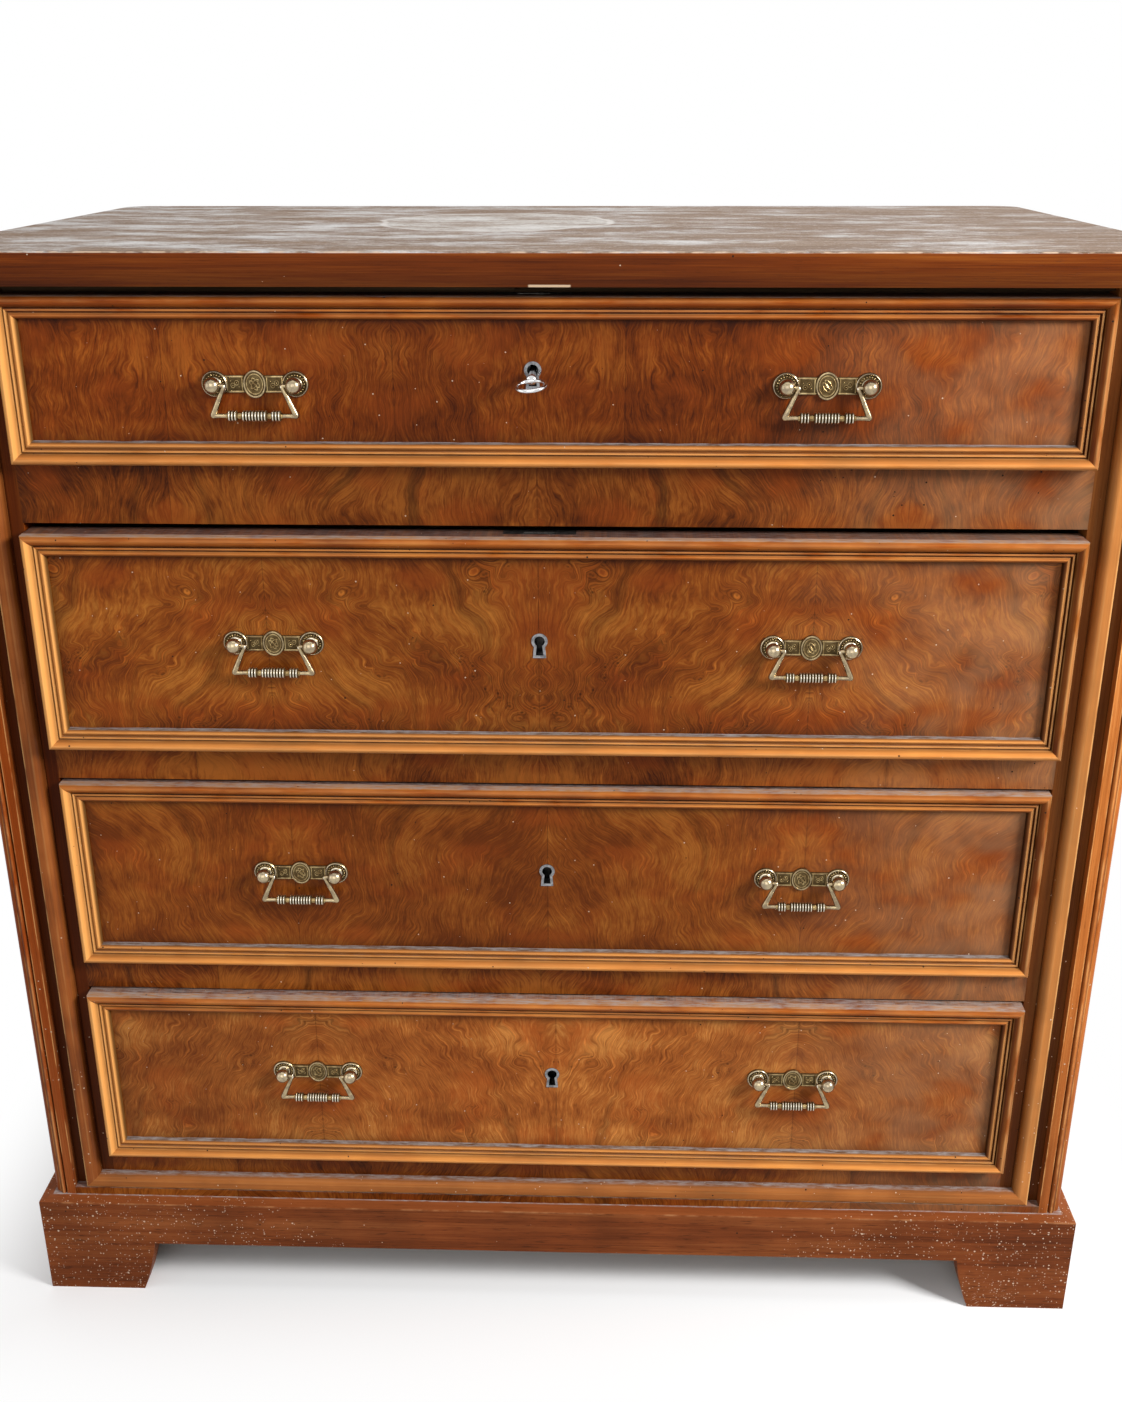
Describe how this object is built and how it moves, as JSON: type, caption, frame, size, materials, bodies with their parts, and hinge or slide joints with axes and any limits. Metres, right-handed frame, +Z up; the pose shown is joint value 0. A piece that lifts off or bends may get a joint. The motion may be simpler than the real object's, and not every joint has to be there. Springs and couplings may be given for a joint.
{
  "type": "chest of drawers",
  "caption": "Walnut chest of drawers on a bracket plinth, with mitred bead mouldings, bail pulls on ball posts, locks and a key.",
  "frame": {"origin": "on the floor, in the middle of the bounding box", "axes": "+X to the right seen from the front, +Y from the front to the back, +Z up; the drawers open towards -Y"},
  "size_m": [1.0098, 0.6116, 1.0035],
  "materials": {
    "walnut_top": "worn satin",
    "walnut_side": "satin polish",
    "walnut_case": "satin polish",
    "walnut_rail": "satin polish",
    "walnut_plinth": "worn satin",
    "walnut_moulding": "gloss polish",
    "walnut_veneer": "gloss polish",
    "oak": "bare",
    "pine": "bare",
    "brass": "aged",
    "steel": "worn"
  },
  "bodies": {
    "case": {"top_board": "walnut_top", "side_left": "walnut_side", "side_right": "walnut_side", "stile_left": "walnut_case", "stile_right": "walnut_case", "case_moulding": "walnut_moulding", "top_frame": "pine", "divider_rails": "walnut_rail", "bottom_rail": "walnut_case", "bottom_board": "pine", "back_planks": "pine", "drawer_runners": "pine", "drawer_guides": "pine", "drawer_stops": "pine", "plinth_front": "walnut_plinth", "plinth_sides": "walnut_plinth", "plinth_back": "pine", "corner_blocks": "pine"},
    "drawer_1": {"drawer_1_front": "walnut_veneer", "drawer_1_moulding": "walnut_moulding", "drawer_1_sides": "oak", "drawer_1_back": "oak", "drawer_1_bottom": "pine", "drawer_1_lock": "steel", "drawer_1_escutcheon": "steel", "drawer_1_pulls": "brass"},
    "drawer_1_bail_left": {"drawer_1_bail_left": "brass"},
    "drawer_1_bail_right": {"drawer_1_bail_right": "brass"},
    "drawer_2": {"drawer_2_front": "walnut_veneer", "drawer_2_moulding": "walnut_moulding", "drawer_2_sides": "oak", "drawer_2_back": "oak", "drawer_2_bottom": "pine", "drawer_2_lock": "steel", "drawer_2_escutcheon": "steel", "drawer_2_pulls": "brass"},
    "drawer_2_bail_left": {"drawer_2_bail_left": "brass"},
    "drawer_2_bail_right": {"drawer_2_bail_right": "brass"},
    "drawer_3": {"drawer_3_front": "walnut_veneer", "drawer_3_moulding": "walnut_moulding", "drawer_3_sides": "oak", "drawer_3_back": "oak", "drawer_3_bottom": "pine", "drawer_3_lock": "steel", "drawer_3_escutcheon": "steel", "drawer_3_pulls": "brass"},
    "drawer_3_bail_left": {"drawer_3_bail_left": "brass"},
    "drawer_3_bail_right": {"drawer_3_bail_right": "brass"},
    "drawer_4": {"drawer_4_front": "walnut_veneer", "drawer_4_moulding": "walnut_moulding", "drawer_4_sides": "oak", "drawer_4_back": "oak", "drawer_4_bottom": "pine", "drawer_4_lock": "steel", "drawer_4_escutcheon": "steel", "drawer_4_pulls": "brass"},
    "drawer_4_bail_left": {"drawer_4_bail_left": "brass"},
    "drawer_4_bail_right": {"drawer_4_bail_right": "brass"},
    "key": {"key": "steel"},
    "lock_bolt": {"lock_bolt": "steel"}
  },
  "joints": [
    {"name": "drawer_1_slide", "type": "slide", "parent": "case", "child": "drawer_1", "axis": [0, -1, 0], "range_m": [-0.006, 0.38]},
    {"name": "drawer_1_bail_left_hinge", "type": "hinge", "parent": "drawer_1", "child": "drawer_1_bail_left", "pos_m": [-0.231, -0.27367, 0.9017], "axis": [-1, 0, 0], "range_deg": [-10, 190]},
    {"name": "drawer_1_bail_right_hinge", "type": "hinge", "parent": "drawer_1", "child": "drawer_1_bail_right", "pos_m": [0.217, -0.27367, 0.9017], "axis": [-1, 0, 0], "range_deg": [-10, 190]},
    {"name": "drawer_2_slide", "type": "slide", "parent": "case", "child": "drawer_2", "axis": [0, -1, 0], "range_m": [-0.011, 0.38]},
    {"name": "drawer_2_bail_left_hinge", "type": "hinge", "parent": "drawer_2", "child": "drawer_2_bail_left", "pos_m": [-0.231, -0.27867, 0.6876], "axis": [-1, 0, 0], "range_deg": [-10, 190]},
    {"name": "drawer_2_bail_right_hinge", "type": "hinge", "parent": "drawer_2", "child": "drawer_2_bail_right", "pos_m": [0.217, -0.27867, 0.6876], "axis": [-1, 0, 0], "range_deg": [-10, 190]},
    {"name": "drawer_3_slide", "type": "slide", "parent": "case", "child": "drawer_3", "axis": [0, -1, 0], "range_m": [-0.001, 0.38]},
    {"name": "drawer_3_bail_left_hinge", "type": "hinge", "parent": "drawer_3", "child": "drawer_3_bail_left", "pos_m": [-0.225, -0.26867, 0.4658], "axis": [-1, 0, 0], "range_deg": [-10, 190]},
    {"name": "drawer_3_bail_right_hinge", "type": "hinge", "parent": "drawer_3", "child": "drawer_3_bail_right", "pos_m": [0.223, -0.26867, 0.4658], "axis": [-1, 0, 0], "range_deg": [-10, 190]},
    {"name": "drawer_4_slide", "type": "slide", "parent": "case", "child": "drawer_4", "axis": [0, -1, 0], "range_m": [-0.006, 0.38]},
    {"name": "drawer_4_bail_left_hinge", "type": "hinge", "parent": "drawer_4", "child": "drawer_4_bail_left", "pos_m": [-0.222, -0.27367, 0.2557], "axis": [-1, 0, 0], "range_deg": [-10, 190]},
    {"name": "drawer_4_bail_right_hinge", "type": "hinge", "parent": "drawer_4", "child": "drawer_4_bail_right", "pos_m": [0.226, -0.27367, 0.2557], "axis": [-1, 0, 0], "range_deg": [-10, 190]},
    {"name": "key_turn", "type": "hinge", "parent": "drawer_1", "child": "key", "pos_m": [-0.0122, -0.25977, 0.913], "axis": [0, 0.9781, 0.2079], "range_deg": [-90, 180]},
    {"name": "lock_bolt_slide", "type": "slide", "parent": "drawer_1", "child": "lock_bolt", "axis": [0, 0, 1], "range_m": [-0.004, 0.008]}
  ],
  "couplings": [
    {"joint": "key_turn", "follows": "lock_bolt_slide", "rad_per_m": 392.5}
  ]
}
